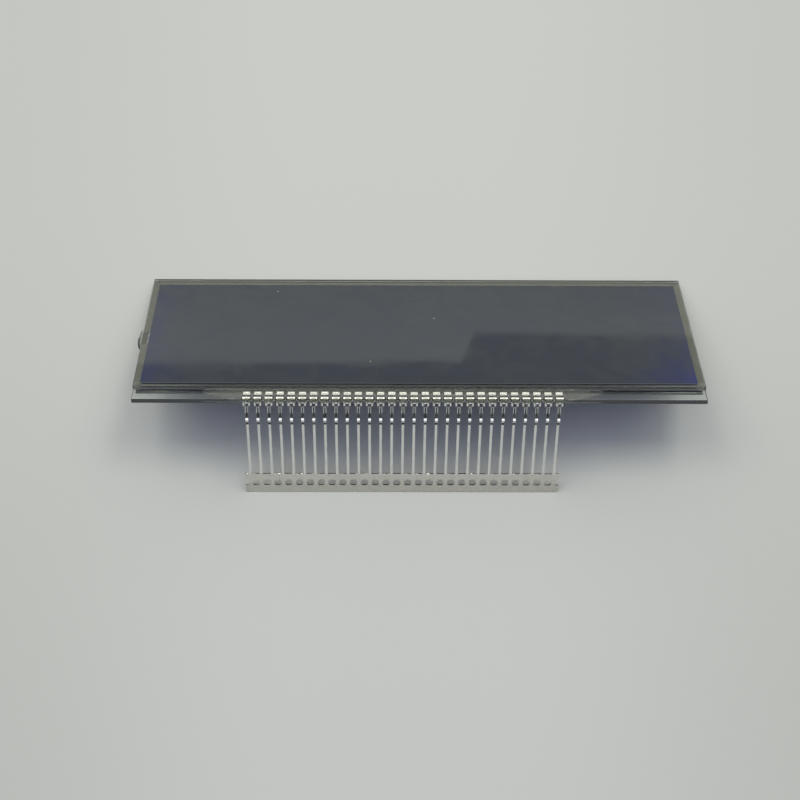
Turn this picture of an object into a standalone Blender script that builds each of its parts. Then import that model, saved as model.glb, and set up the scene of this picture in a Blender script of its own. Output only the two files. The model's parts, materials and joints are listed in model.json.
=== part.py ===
"""A segment LCD screen with clip-on pins, as it rests on a table on its pins.

Two sheets of glass hold a film of liquid crystal inside a perimeter seal, a polarizer
covers each outer side, and a stamped lead frame is clipped on the contact ledge of the
rear glass and glued there. The frame's carrier strip is still on the ends of the pins.

Design frame: X runs along the glass from its middle, Y from the front edge of the front
glass towards the back edge, and Z out of the viewing side, with Z = 0 on the ledge.
"""

import math
from collections import namedtuple

import bmesh
import bpy
from mathutils import Vector

MM = 0.001

# Glass cell
GLASS_WIDTH = 131.0 * MM
FRONT_GLASS_DEPTH = 44.5 * MM
CONTACT_LEDGE = 3.4 * MM
GLASS_THICKNESS = 1.1 * MM
GLASS_ARRIS = 0.06 * MM
CELL_GAP = 0.10 * MM
FILM_CLEARANCE = 0.02 * MM

# Perimeter seal, with its fill port in the left side
SEAL_INSET = 0.35 * MM
SEAL_FRONT_INSET = 1.05 * MM
SEAL_WIDTH = 1.0 * MM
SEAL_CORNER_CUT = 1.2 * MM
FILL_PORT_WIDTH = 5.0 * MM
FILL_PORT_Y = 19.7 * MM
END_SEAL_LENGTH = 8.4 * MM
END_SEAL_BULGE = 1.15 * MM
END_SEAL_HEIGHT = 1.7 * MM
TRANSFER_DOT_DIAMETER = 0.8 * MM
TRANSFER_DOT_INSET = 0.85 * MM

# Polarizers
POLARIZER_THICKNESS = 0.20 * MM
POLARIZER_MARGIN_LEFT = 1.65 * MM
POLARIZER_MARGIN_RIGHT = 2.15 * MM
POLARIZER_MARGIN_FRONT = 0.95 * MM
POLARIZER_MARGIN_BACK = 2.9 * MM

# Lead frame: pins
PIN_COUNT = 29
PIN_PITCH = 2.54 * MM
PIN_GROUP_OFFSET = -3.84 * MM
LEAD_THICKNESS = 0.30 * MM
LEAD_STANDOFF = 0.40 * MM
GRIP_CLEARANCE = 0.03 * MM
CLIP_WIDTH = 1.62 * MM
JAW_REACH = 2.7 * MM
JAW_GRIP_REACH = 1.8 * MM
JAW_TIP_LIFT = 0.28 * MM
JAW_SHOULDER_LIFT = 0.65 * MM
JAW_BEND = 0.34 * MM
TONGUE_WIDTH = 0.35 * MM
TONGUE_SLIT = 0.09 * MM
TONGUE_REACH = 2.75 * MM
TONGUE_GRIP_REACH = 1.6 * MM
TONGUE_TIP_DROP = 0.34 * MM
TONGUE_HEEL_DROP = 0.34 * MM
TONGUE_BEND = 0.38 * MM
GRIP_BEND = 0.30 * MM
BRANCH_DROP = 0.35 * MM
TAPER_LENGTH = 1.05 * MM
NECK_WIDTH = 0.50 * MM
SHANK_WIDTH = 0.56 * MM
NECK_DROP = 2.1 * MM
NECK_SPLAY = 0.35 * MM
KINK_DROP = 4.66 * MM
KINK_DEPTH = 0.95 * MM
KINK_NOSE_DROP = 0.45 * MM
KINK_HEEL_DEPTH = 0.12 * MM
KINK_HEEL_DROP = 1.39 * MM
KINK_FOOT_DROP = 2.07 * MM
KINK_BEND = 0.22 * MM
PIN_DROP = 21.4 * MM

# Lead frame: carrier strip
STRIP_HEIGHT = 5.45 * MM
PILOT_DIAMETER = 1.8 * MM
PILOT_DROP = 2.55 * MM
STRIP_ROOT = 0.4 * MM

# Pin glue
GLUE_CLEARANCE = 0.04 * MM
GLUE_COAT = 0.2 * MM
GLUE_OVERRUN = 10.3 * MM
GLUE_SMEAR = 6.5 * MM
GLUE_CROWN_HEIGHT = 0.38 * MM
GLUE_HEEL_HEIGHT = 0.68 * MM
GLUE_SMEAR_SHARE = 0.35
GLUE_SHOULDER_SHARE = 0.8
GLUE_HANG = 0.85 * MM
GLUE_ARCH_DROP = 0.30 * MM
GLUE_FRONT_CHAMFER = 0.45 * MM

# How finely the round stretches are divided
SHOULDER_STEPS = 3
HEEL_STEPS = 2
CREASE_STEPS = 1
HOLE_STEPS = 16
ARCH_STEPS = 8
DROP_STEPS = 24

# How far a cutter runs past what it cuts, and how close two points are one
CUT_OVERSHOOT = 0.3 * MM
WELD_DISTANCE = 0.00001 * MM

# Places that several pieces share
GLASS_LEFT = -GLASS_WIDTH / 2
GLASS_RIGHT = GLASS_WIDTH / 2
GLASS_BACK = FRONT_GLASS_DEPTH
LEDGE_EDGE = -CONTACT_LEDGE
CELL_TOP = CELL_GAP + GLASS_THICKNESS
CELL_BOTTOM = -GLASS_THICKNESS
LEAD_Y = LEDGE_EDGE - LEAD_STANDOFF - LEAD_THICKNESS / 2
STRIP_TOP = -PIN_DROP
STRIP_BOTTOM = STRIP_TOP - STRIP_HEIGHT
FIRST_PIN_X = PIN_GROUP_OFFSET - PIN_PITCH * (PIN_COUNT - 1) / 2
LAST_PIN_X = PIN_GROUP_OFFSET + PIN_PITCH * (PIN_COUNT - 1) / 2

Corner = namedtuple("Corner", "y z bend steps half_width")


def clear_scene():
    for old in list(bpy.data.objects):
        bpy.data.objects.remove(old, do_unlink=True)


def new_collection(name):
    collection = bpy.data.collections.new(name)
    bpy.context.scene.collection.children.link(collection)
    return collection


def make_material(name, colour, roughness, metallic=0.0, transmission=0.0):
    material = bpy.data.materials.new(name)
    material.use_nodes = True
    shader = material.node_tree.nodes["Principled BSDF"]
    shader.inputs["Base Color"].default_value = (*colour, 1.0)
    shader.inputs["Roughness"].default_value = roughness
    shader.inputs["Metallic"].default_value = metallic
    shader.inputs["Transmission Weight"].default_value = transmission
    material.diffuse_color = (*colour, 1.0)
    return material


def add_object(name, data, collection):
    piece = bpy.data.objects.new(name, data)
    collection.objects.link(piece)
    return piece


def mesh_from(name, bm):
    mesh = bpy.data.meshes.new(name)
    bm.to_mesh(mesh)
    bm.free()
    return mesh


def add_slab(name, low, high, collection):
    """A box between two corners, with its origin in its middle."""
    low, high = Vector(low), Vector(high)
    bm = bmesh.new()
    bmesh.ops.create_cube(bm, size=1.0)
    bmesh.ops.scale(bm, vec=high - low, verts=bm.verts)
    slab = add_object(name, mesh_from(name, bm), collection)
    slab.location = (low + high) / 2
    return slab


def add_outline(name, loops, thickness, collection):
    """A filled flat outline, extruded to its thickness. The first loop is the outside."""
    curve = bpy.data.curves.new(name, "CURVE")
    curve.dimensions = "2D"
    curve.fill_mode = "BOTH"
    curve.extrude = thickness / 2
    for loop in loops:
        spline = curve.splines.new("POLY")
        spline.points.add(len(loop) - 1)
        spline.use_cyclic_u = True
        for point, (x, y) in zip(spline.points, loop):
            point.co = (x, y, 0.0, 1.0)
    return add_object(name, curve, collection)


def as_mesh(piece):
    """The same piece as a plain mesh, with its caps welded and its place in the mesh."""
    bpy.context.view_layer.update()
    shape = piece.evaluated_get(bpy.context.evaluated_depsgraph_get())
    mesh = bpy.data.meshes.new_from_object(shape)
    mesh.transform(piece.matrix_world)
    bm = bmesh.new()
    bm.from_mesh(mesh)
    bmesh.ops.remove_doubles(bm, verts=bm.verts, dist=WELD_DISTANCE)
    bmesh.ops.recalc_face_normals(bm, faces=bm.faces)
    bm.to_mesh(mesh)
    bm.free()
    name, collection = piece.name, piece.users_collection[0]
    bpy.data.objects.remove(piece, do_unlink=True)
    mesh.name = name
    return add_object(name, mesh, collection)


def add_boolean(piece, operation, tool):
    modifier = piece.modifiers.new(tool.name, "BOOLEAN")
    modifier.operation = operation
    modifier.solver = "EXACT"
    modifier.object = tool
    tool.hide_render = True
    tool.display_type = "WIRE"


def repeat_along_x(piece, count, pitch):
    array = piece.modifiers.new("pitch", "ARRAY")
    array.count = count
    array.use_relative_offset = False
    array.use_constant_offset = True
    array.constant_offset_displace = (pitch, 0.0, 0.0)


def add_bevel(piece, width, segments=1):
    bevel = piece.modifiers.new("arris", "BEVEL")
    bevel.width = width
    bevel.segments = segments
    bevel.limit_method = "ANGLE"


def rounded(corners):
    """The stations (y, z, half width) of a path whose corners are bent to their radii."""
    stations = [(corners[0].y, corners[0].z, corners[0].half_width)]
    for before, corner, after in zip(corners, corners[1:], corners[2:]):
        here = Vector((corner.y, corner.z))
        if not corner.bend:
            stations.append((corner.y, corner.z, corner.half_width))
            continue
        way_in = (here - Vector((before.y, before.z))).normalized()
        way_out = (Vector((after.y, after.z)) - here).normalized()
        turn = -way_in.angle_signed(way_out)
        side = Vector((-way_in.y, way_in.x)) * math.copysign(1.0, turn)
        start = here - way_in * corner.bend * math.tan(abs(turn) / 2)
        for step in range(corner.steps + 1):
            angle = abs(turn) * step / corner.steps
            across = side * corner.bend * (1 - math.cos(angle))
            along = way_in * corner.bend * math.sin(angle)
            y, z = start + along + across
            stations.append((y, z, corner.half_width))
    stations.append((corners[-1].y, corners[-1].z, corners[-1].half_width))
    return stations


def extend_ribbon(bm, row, stations, middle_x=0.0):
    """Carries a strip of sheet on from a row of two vertices through more stations."""
    for y, z, half_width in stations:
        reach = [bm.verts.new((middle_x + side * half_width, y, z)) for side in (-1, 1)]
        bm.faces.new((row[0], row[1], reach[1], reach[0]))
        row = reach


def jaw_corners():
    """The upper finger: from its lifted tip, over the grip, to the slits of the clip."""
    half = CLIP_WIDTH / 2
    grip_z = GRIP_CLEARANCE + LEAD_THICKNESS / 2
    return [
        Corner(LEAD_Y + JAW_REACH, grip_z + JAW_TIP_LIFT, 0.0, 0, half),
        Corner(LEAD_Y + JAW_GRIP_REACH, grip_z, GRIP_BEND, CREASE_STEPS, half),
        Corner(LEAD_Y, grip_z + JAW_SHOULDER_LIFT, JAW_BEND, SHOULDER_STEPS, half),
        Corner(LEAD_Y, -BRANCH_DROP, 0.0, 0, half),
    ]


def tongue_corners():
    """The lower side finger: down from the clip and back under the rear glass."""
    half = TONGUE_WIDTH / 2
    grip_z = CELL_BOTTOM - GRIP_CLEARANCE - LEAD_THICKNESS / 2
    return [
        Corner(LEAD_Y, -BRANCH_DROP, 0.0, 0, half),
        Corner(LEAD_Y, grip_z - TONGUE_HEEL_DROP, TONGUE_BEND, HEEL_STEPS, half),
        Corner(LEAD_Y + TONGUE_GRIP_REACH, grip_z, GRIP_BEND, CREASE_STEPS, half),
        Corner(LEAD_Y + TONGUE_REACH, grip_z - TONGUE_TIP_DROP, 0.0, 0, half),
    ]


def leg_corners():
    """The middle finger: the splayed neck, the kink that stops at the board, the shank."""
    neck, shank = NECK_WIDTH / 2, SHANK_WIDTH / 2
    inner_half = CLIP_WIDTH / 2 - TONGUE_WIDTH - TONGUE_SLIT
    nose_y, nose_z = LEAD_Y - KINK_DEPTH, -KINK_DROP - KINK_NOSE_DROP
    return [
        Corner(LEAD_Y, -BRANCH_DROP, 0.0, 0, inner_half),
        Corner(LEAD_Y, -BRANCH_DROP - TAPER_LENGTH, 0.0, 0, neck),
        Corner(LEAD_Y, -NECK_DROP, 0.0, 0, neck),
        Corner(LEAD_Y - NECK_SPLAY, -KINK_DROP, KINK_BEND, CREASE_STEPS, neck),
        Corner(nose_y, nose_z, KINK_BEND, CREASE_STEPS, shank),
        Corner(LEAD_Y + KINK_HEEL_DEPTH, -KINK_DROP - KINK_HEEL_DROP, KINK_BEND, CREASE_STEPS, shank),
        Corner(LEAD_Y, -KINK_DROP - KINK_FOOT_DROP, 0.0, 0, shank),
        Corner(LEAD_Y, STRIP_TOP - STRIP_ROOT, 0.0, 0, shank),
    ]


def add_contacts(collection):
    """The row of clip contacts: one folded sheet surface with three fingers, repeated."""
    half = CLIP_WIDTH / 2
    slit_outside = half - TONGUE_WIDTH
    slit_inside = slit_outside - TONGUE_SLIT
    bm = bmesh.new()
    jaw = rounded(jaw_corners())
    tip_y, tip_z, _ = jaw[0]
    tip = [bm.verts.new((side * half, tip_y, tip_z)) for side in (-1, 1)]
    extend_ribbon(bm, tip, jaw[1:-1])
    bm.verts.ensure_lookup_table()
    left, right = bm.verts[-2], bm.verts[-1]
    branch_x = (-half, -slit_outside, -slit_inside, slit_inside, slit_outside, half)
    branch = [bm.verts.new((x, LEAD_Y, -BRANCH_DROP)) for x in branch_x]
    bm.faces.new([left, right] + branch[::-1])
    extend_ribbon(bm, branch[2:4], rounded(leg_corners())[1:])
    tongue = rounded(tongue_corners())[1:]
    extend_ribbon(bm, branch[0:2], tongue, -half + TONGUE_WIDTH / 2)
    extend_ribbon(bm, branch[4:6], tongue, half - TONGUE_WIDTH / 2)
    bmesh.ops.recalc_face_normals(bm, faces=bm.faces)
    contacts = add_object("contacts", mesh_from("contacts", bm), collection)
    contacts.location.x = FIRST_PIN_X
    solidify = contacts.modifiers.new("sheet", "SOLIDIFY")
    solidify.thickness = LEAD_THICKNESS
    solidify.offset = 0.0
    solidify.use_even_offset = True
    repeat_along_x(contacts, PIN_COUNT, PIN_PITCH)
    return as_mesh(contacts)


def add_rod(name, diameter, length, collection):
    """An upright round bar with its origin in its middle."""
    bm = bmesh.new()
    bmesh.ops.create_cone(
        bm,
        cap_ends=True,
        segments=HOLE_STEPS,
        radius1=diameter / 2,
        radius2=diameter / 2,
        depth=length,
    )
    return add_object(name, mesh_from(name, bm), collection)


def add_lead_frame(collection, cutters):
    """One stamping: the contacts, still joined by their carrier strip.

    The strip is cut off half a pitch beyond the outer pins, through the middle of a
    pilot hole at each end.
    """
    left, right = FIRST_PIN_X - PIN_PITCH / 2, LAST_PIN_X + PIN_PITCH / 2
    frame = add_slab(
        "lead_frame",
        (left, LEAD_Y - LEAD_THICKNESS / 2, STRIP_BOTTOM),
        (right, LEAD_Y + LEAD_THICKNESS / 2, STRIP_TOP),
        collection,
    )
    frame = as_mesh(frame)
    through = LEAD_THICKNESS + 2 * CUT_OVERSHOOT
    pilots = add_rod("pilot_holes", PILOT_DIAMETER, through, cutters)
    pilots.rotation_euler.x = math.pi / 2
    pilots.location = (left, LEAD_Y, STRIP_TOP - PILOT_DROP)
    repeat_along_x(pilots, PIN_COUNT + 1, PIN_PITCH)
    add_boolean(frame, "DIFFERENCE", pilots)
    add_boolean(frame, "UNION", add_contacts(cutters))
    return as_mesh(frame)


def cell_outline(inset):
    """The seal's way round the cell from one side of the fill port to the other."""
    cut = SEAL_CORNER_CUT - (inset - SEAL_INSET) * (2 - math.sqrt(2))
    left, right = GLASS_LEFT + inset, GLASS_RIGHT - inset
    front, back = inset + SEAL_FRONT_INSET - SEAL_INSET, GLASS_BACK - inset
    return [
        (left, FILL_PORT_Y + FILL_PORT_WIDTH / 2),
        (left, back),
        (right, back),
        (right, front + cut),
        (right - cut, front),
        (left + cut, front),
        (left, front + cut),
        (left, FILL_PORT_Y - FILL_PORT_WIDTH / 2),
    ]


def add_cell_layers(collection):
    """The seal, the liquid crystal inside it and the conductive dots outside its corners."""
    layer = CELL_GAP - 2 * FILM_CLEARANCE
    inner = SEAL_INSET + SEAL_WIDTH
    outlines = {
        "cell_seal": cell_outline(SEAL_INSET) + cell_outline(inner)[::-1],
        "liquid_crystal": cell_outline(inner + FILM_CLEARANCE),
    }
    pieces = {}
    for name, outline in outlines.items():
        sheet = add_outline(name, [outline], layer, collection)
        sheet.location.z = CELL_GAP / 2
        pieces[name] = as_mesh(sheet)
    for side, name in ((-1, "transfer_dot_left"), (1, "transfer_dot_right")):
        dot = add_rod(name, TRANSFER_DOT_DIAMETER, layer, collection)
        dot_x = side * (GLASS_RIGHT - TRANSFER_DOT_INSET)
        dot.location = (dot_x, TRANSFER_DOT_INSET, CELL_GAP / 2)
        pieces[name] = dot
    return pieces


def add_end_seal(collection, cutters):
    """The resin that closes the fill port: a drop outside and a film in the port."""
    face_x = GLASS_LEFT - FILM_CLEARANCE
    bm = bmesh.new()
    bmesh.ops.create_uvsphere(
        bm, u_segments=DROP_STEPS, v_segments=DROP_STEPS // 2, radius=1.0
    )
    size = (END_SEAL_BULGE - FILM_CLEARANCE, END_SEAL_LENGTH / 2, END_SEAL_HEIGHT / 2)
    bmesh.ops.scale(bm, vec=size, verts=bm.verts)
    everything = list(bm.verts) + list(bm.edges) + list(bm.faces)
    cut = bmesh.ops.bisect_plane(
        bm, geom=everything, plane_co=(0, 0, 0), plane_no=(1, 0, 0), clear_outer=True
    )
    rim = [edge for edge in cut["geom_cut"] if isinstance(edge, bmesh.types.BMEdge)]
    bmesh.ops.contextual_create(bm, geom=rim)
    bmesh.ops.recalc_face_normals(bm, faces=bm.faces)
    drop = add_object("end_seal", mesh_from("end_seal", bm), collection)
    drop.location = (face_x, FILL_PORT_Y, (CELL_TOP + CELL_BOTTOM) / 2)
    half_port = FILL_PORT_WIDTH / 2 - FILM_CLEARANCE
    film = add_slab(
        "port_film",
        (face_x - END_SEAL_BULGE / 2, FILL_PORT_Y - half_port, FILM_CLEARANCE),
        (
            GLASS_LEFT + SEAL_INSET + SEAL_WIDTH,
            FILL_PORT_Y + half_port,
            CELL_GAP - FILM_CLEARANCE,
        ),
        cutters,
    )
    add_boolean(drop, "UNION", film)
    return as_mesh(drop)


def add_glass_and_polarizers(collection):
    rear_glass = add_slab(
        "rear_glass",
        (GLASS_LEFT, LEDGE_EDGE, CELL_BOTTOM),
        (GLASS_RIGHT, GLASS_BACK, 0.0),
        collection,
    )
    front_glass = add_slab(
        "front_glass",
        (GLASS_LEFT, 0.0, CELL_GAP),
        (GLASS_RIGHT, GLASS_BACK, CELL_TOP),
        collection,
    )
    for sheet in (rear_glass, front_glass):
        add_bevel(sheet, GLASS_ARRIS)
    left = GLASS_LEFT + POLARIZER_MARGIN_LEFT
    right = GLASS_RIGHT - POLARIZER_MARGIN_RIGHT
    near = POLARIZER_MARGIN_FRONT
    far = GLASS_BACK - POLARIZER_MARGIN_BACK
    film_top = CELL_TOP + FILM_CLEARANCE + POLARIZER_THICKNESS
    film_bottom = CELL_BOTTOM - FILM_CLEARANCE - POLARIZER_THICKNESS
    front_film = add_slab(
        "front_polarizer",
        (left, near, CELL_TOP + FILM_CLEARANCE),
        (right, far, film_top),
        collection,
    )
    rear_film = add_slab(
        "rear_polarizer",
        (left, near, film_bottom),
        (right, far, CELL_BOTTOM - FILM_CLEARANCE),
        collection,
    )
    return rear_glass, front_glass, front_film, rear_film


def glue_section(share, hang):
    """The bead's outline (y, z): over the ledge, then down in front of its edge.

    share is how much of the full height the bead has there, and hang how far it
    reaches below the ledge.
    """
    step_y, edge_y = -GLUE_CLEARANCE, LEDGE_EDGE - GLUE_CLEARANCE
    base_z = GLUE_CLEARANCE
    front_full = LEAD_Y - LEAD_THICKNESS / 2 - GLUE_CLEARANCE - GLUE_COAT
    front_y = edge_y + (front_full - edge_y) * share
    crown_z = base_z + (GLUE_CROWN_HEIGHT - base_z) * share
    heel_z = base_z + (GLUE_HEEL_HEIGHT - base_z) * share
    chamfer = GLUE_FRONT_CHAMFER * share
    tip_y = LEAD_Y + JAW_REACH + GLUE_COAT
    return [
        (step_y, base_z),
        (edge_y, base_z),
        (edge_y, -hang),
        (front_y, -hang),
        (front_y, crown_z - chamfer),
        (front_y + chamfer, crown_z),
        (tip_y, crown_z),
        (step_y, heel_z),
    ]


def offset_path(stations, distance):
    """The stations' (y, z) line moved to its outer side, mitred at its bends."""
    points = [Vector((y, z)) for y, z, _ in stations]
    ways = [(after - before).normalized() for before, after in zip(points, points[1:])]
    moved = []
    for point, way_in, way_out in zip(points, ways[:1] + ways, ways + ways[-1:]):
        middle = (way_in + way_out).normalized()
        outward = Vector((middle.y, -middle.x))
        moved.append(point + outward * distance / middle.dot(way_in))
    return moved


def pocket_profile():
    """The side view of the room that a clip takes in the glue, open to the glass."""
    lift = LEAD_THICKNESS / 2 + GLUE_CLEARANCE
    top = offset_path(rounded(jaw_corners()), lift)
    tip = top[0] + (top[0] - top[1]).normalized() * lift
    inside_glass = CELL_BOTTOM / 2
    below = -GLUE_HANG - LEAD_STANDOFF
    back = LEDGE_EDGE + GLUE_COAT
    under = [(LEAD_Y - lift, below), (back, below), (back, inside_glass), (tip.x, inside_glass)]
    return [tuple(point) for point in (tip, *top)] + under


def add_pin_glue(collection, cutters):
    """The clear bead over the ledge, open round each clip, with arches between them."""
    half_coat = CLIP_WIDTH / 2 + GLUE_CLEARANCE + GLUE_COAT
    half_pins = (LAST_PIN_X - FIRST_PIN_X) / 2
    half_bead = half_pins + PIN_PITCH / 2 + GLUE_COAT
    half_shoulder = half_bead + (GLUE_OVERRUN - GLUE_SMEAR) / 2
    half_length = half_pins + GLUE_OVERRUN
    stations = [
        (half_length, GLUE_SMEAR_SHARE / 2, 0.0),
        (half_length - GLUE_COAT, GLUE_SMEAR_SHARE, GLUE_ARCH_DROP / 2),
        (half_shoulder, GLUE_SHOULDER_SHARE, GLUE_ARCH_DROP),
        (half_bead, 1.0, GLUE_ARCH_DROP),
        (half_pins + half_coat, 1.0, GLUE_HANG),
    ]
    places = [(-x, share, hang) for x, share, hang in stations]
    places += [(x, share, hang) for x, share, hang in stations[::-1]]
    bm = bmesh.new()
    rows = [
        [bm.verts.new((PIN_GROUP_OFFSET + x, y, z)) for y, z in glue_section(share, hang)]
        for x, share, hang in places
    ]
    for near, far in zip(rows, rows[1:]):
        for k in range(len(near)):
            after = (k + 1) % len(near)
            bm.faces.new((near[k], near[after], far[after], far[k]))
    bm.faces.new(rows[0])
    bm.faces.new(rows[-1])
    bmesh.ops.recalc_face_normals(bm, faces=bm.faces)
    bead = add_object("pin_glue", mesh_from("pin_glue", bm), collection)

    pockets = add_outline(
        "clip_pockets", [pocket_profile()], CLIP_WIDTH + 2 * GLUE_CLEARANCE, cutters
    )
    pockets.rotation_euler = (math.pi / 2, 0.0, math.pi / 2)
    pockets = as_mesh(pockets)
    pockets.location.x = FIRST_PIN_X
    repeat_along_x(pockets, PIN_COUNT, PIN_PITCH)
    add_boolean(bead, "DIFFERENCE", pockets)

    radius = (PIN_PITCH - CLIP_WIDTH) / 2
    below = -GLUE_HANG - CUT_OVERSHOOT
    spring_z = -GLUE_ARCH_DROP - radius
    arches = []
    for gap in range(PIN_COUNT - 1):
        x = FIRST_PIN_X + PIN_PITCH * (gap + 0.5)
        angles = [math.pi * step / ARCH_STEPS for step in range(ARCH_STEPS + 1)]
        arc = [(x + radius * math.cos(a), spring_z + radius * math.sin(a)) for a in angles]
        arches.append([(x + radius, below), *arc, (x - radius, below)])
    arch_tool = add_outline("glue_arches", arches, 2 * LEAD_STANDOFF + LEAD_THICKNESS, cutters)
    arch_tool.rotation_euler.x = math.pi / 2
    arch_tool.location.y = LEAD_Y
    add_boolean(bead, "DIFFERENCE", as_mesh(arch_tool))
    return as_mesh(bead)


def rest_pose():
    """The tilt and place at which the back edge and the strip stand on the table."""
    back = Vector((GLASS_BACK, CELL_BOTTOM))
    foot = Vector((LEAD_Y + LEAD_THICKNESS / 2, STRIP_BOTTOM))
    tilt = math.atan2(back.y - foot.y, back.x - foot.x)
    sine, cosine = math.sin(tilt), math.cos(tilt)
    rise = back.x * sine - back.y * cosine
    nearest = (LEAD_Y - LEAD_THICKNESS / 2) * cosine + STRIP_BOTTOM * sine
    farthest = GLASS_BACK * cosine + CELL_TOP * sine
    return tilt, Vector((0.0, -(nearest + farthest) / 2, rise))


def build():
    clear_scene()
    screen = new_collection("lcd_screen")
    cutters = new_collection("cutters")

    glass = make_material("float_glass", (0.80, 0.90, 0.87), 0.03, transmission=1.0)
    film = make_material("polarizer_film", (0.045, 0.05, 0.075), 0.12)
    resin = make_material("seal_epoxy", (0.42, 0.40, 0.36), 0.5)
    crystal = make_material("liquid_crystal", (0.25, 0.27, 0.38), 0.1, transmission=0.6)
    silver = make_material("silver_paste", (0.75, 0.74, 0.70), 0.45, metallic=1.0)
    metal = make_material("tinned_metal", (0.78, 0.78, 0.74), 0.28, metallic=1.0)
    glue = make_material("clear_glue", (0.93, 0.94, 0.90), 0.06, transmission=1.0)

    rear_glass, front_glass, front_film, rear_film = add_glass_and_polarizers(screen)
    layers = add_cell_layers(screen)
    finishes = {
        glass: [rear_glass, front_glass],
        film: [front_film, rear_film],
        resin: [layers["cell_seal"]],
        crystal: [layers["liquid_crystal"]],
        silver: [layers["transfer_dot_left"], layers["transfer_dot_right"]],
        metal: [add_lead_frame(screen, cutters)],
        glue: [add_pin_glue(screen, cutters), add_end_seal(screen, cutters)],
    }
    tilt, place = rest_pose()
    rest = add_object("rest_pose", None, screen)
    for material, pieces in finishes.items():
        for piece in pieces:
            piece.data.materials.clear()
            piece.data.materials.append(material)
            piece.parent = rest
    rest.rotation_euler.x = -tilt
    rest.location = place
    bpy.context.view_layer.update()


build()
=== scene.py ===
"""The looks of a segment LCD screen with clip-on pins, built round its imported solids.

Every piece is worked out in the screen's own axes, in millimetres: X across from the
middle, Y from the front edge of the front glass towards the back edge, and Z out of the
viewing side, with Z = 0 on the contact ledge. make_piece turns them into the row frame.
"""

import json
import math

import bmesh
import bpy
import numpy as np
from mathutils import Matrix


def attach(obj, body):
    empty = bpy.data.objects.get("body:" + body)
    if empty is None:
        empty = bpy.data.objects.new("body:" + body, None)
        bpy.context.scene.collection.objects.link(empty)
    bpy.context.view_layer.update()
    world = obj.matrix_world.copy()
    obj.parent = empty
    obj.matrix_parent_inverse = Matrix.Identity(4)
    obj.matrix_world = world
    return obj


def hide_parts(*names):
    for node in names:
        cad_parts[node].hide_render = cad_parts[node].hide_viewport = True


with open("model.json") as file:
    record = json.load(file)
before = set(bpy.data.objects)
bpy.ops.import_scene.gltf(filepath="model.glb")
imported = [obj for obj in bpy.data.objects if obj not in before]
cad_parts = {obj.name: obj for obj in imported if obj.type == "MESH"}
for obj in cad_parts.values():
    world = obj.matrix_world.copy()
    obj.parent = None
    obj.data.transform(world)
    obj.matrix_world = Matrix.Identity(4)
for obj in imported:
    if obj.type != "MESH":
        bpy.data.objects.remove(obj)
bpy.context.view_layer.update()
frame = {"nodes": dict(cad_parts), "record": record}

MM = 0.001
WELD = 0.0005 * MM

# Laminated layers reach this far into the glass, so that no air film shows between them
WETTING = 0.006

# Cut edges: arris, corner radius, step between points, and hackle
GLASS_EDGE = (0.035, 0.12, 0.45, 0.0005)
FILM_EDGE = (0.03, 0.2, 1.5, 0.006)

# Glass
GLASS_CHIPS = 10
CHIP_DEPTH = 0.07
RIM_GUARD = 0.02
BACK_TRIM = 0.02
CELL_GAP = 0.10

# Films
FRONT_FILM_REACH = 0.35
REAR_FILM_FRONT = -0.44
REAR_FILM_SIDE = 0.6
FILM_TINT = (0.15, 0.33, 0.51)

# Perimeter seal and its fill port
SEAL_INSET = 0.15
SEAL_FRONT_INSET = 0.38
SEAL_CORNER_INSET = 0.12
SEAL_WIDTH = 0.95
SEAL_SIDE_WIDTH = 1.75
SEAL_BACK_WIDTH = 2.75
SEAL_CORNER_CUT = 0.9
SEAL_BEND = 0.7
SEAL_WAVE = 0.03
PORT_WIDTH = 5.0
PORT_Y = 19.7
PORT_FILL_REACH = 1.1
PLUG_BULGE = 1.15
PLUG_LENGTH = 7.6
PLUG_HEIGHT = 1.7
PLUG_SIDES = 48
PLUG_RINGS = 16

# Pins
PIN_COUNT = 29
PIN_PITCH = 2.54
PIN_MIDDLE = -3.84
SHEET = 0.30
LEAD_Y = -3.95
CLIP_WIDTH = 1.62
JAW_REACH = 2.9
JAW_TIP_ROUND = 0.28
JAW_TIP_NARROWING = 0.12
JAW_TIP_SLOPE_DROP = 0.12
JAW_GRIP_REACH = 1.8
JAW_GRIP_Z = 0.18
JAW_GRIP_BEND = 0.35
JAW_TIP_LIFT = 0.265
JAW_SHOULDER_LIFT = 0.56
JAW_LEAN = 0.12
JAW_BEND = 0.34
JAW_UNEVENNESS = 0.025
JAW_GROOVE_Y = 2.42
JAW_GROOVE_HALF = 0.14
JAW_GROOVE_DEPTH = 0.07
TONGUE_WIDTH = 0.40
TONGUE_SLIT = 0.07
TONGUE_REACH = 2.75
TONGUE_GRIP_REACH = 1.6
TONGUE_GRIP_Z = -1.28
TONGUE_GRIP_BEND = 0.5
TONGUE_HEEL_BEND = 0.38
TONGUE_DROP = 0.34
BRANCH_Z = -0.35
TAPER_END_Z = -1.4
TAPER_BEND = 0.4
NECK_WIDTH = 0.50
SHANK_WIDTH = 0.58
KINK_WIDTH = 0.64
TAPER_SPLAY = 0.12
NECK_SPLAY = 0.46
NECK_CORE_SHARE = 0.62
NECK_CROWN = 0.07
NECK_CROWN_TOP = -1.3
NECK_CROWN_END = -3.6
KINK_TOP_Z = -4.58
KINK_TOP_BEND = 0.20
KINK_DEPTH = 1.05
KINK_NOSE_Z = -5.02
KINK_NOSE_BEND = 0.19
KINK_HEEL = 0.12
KINK_HEEL_Z = -6.05
KINK_HEEL_BEND = 0.24
KINK_FOOT_Z = -6.73
KINK_FOOT_BEND = 0.3
STRIP_TOP = -21.4
STRIP_BOTTOM = -26.85
STRIP_FILLET = 0.3
PILOT_RADIUS = 0.9
PILOT_Z = -23.95
STAMPED_EDGE = 0.014

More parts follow.
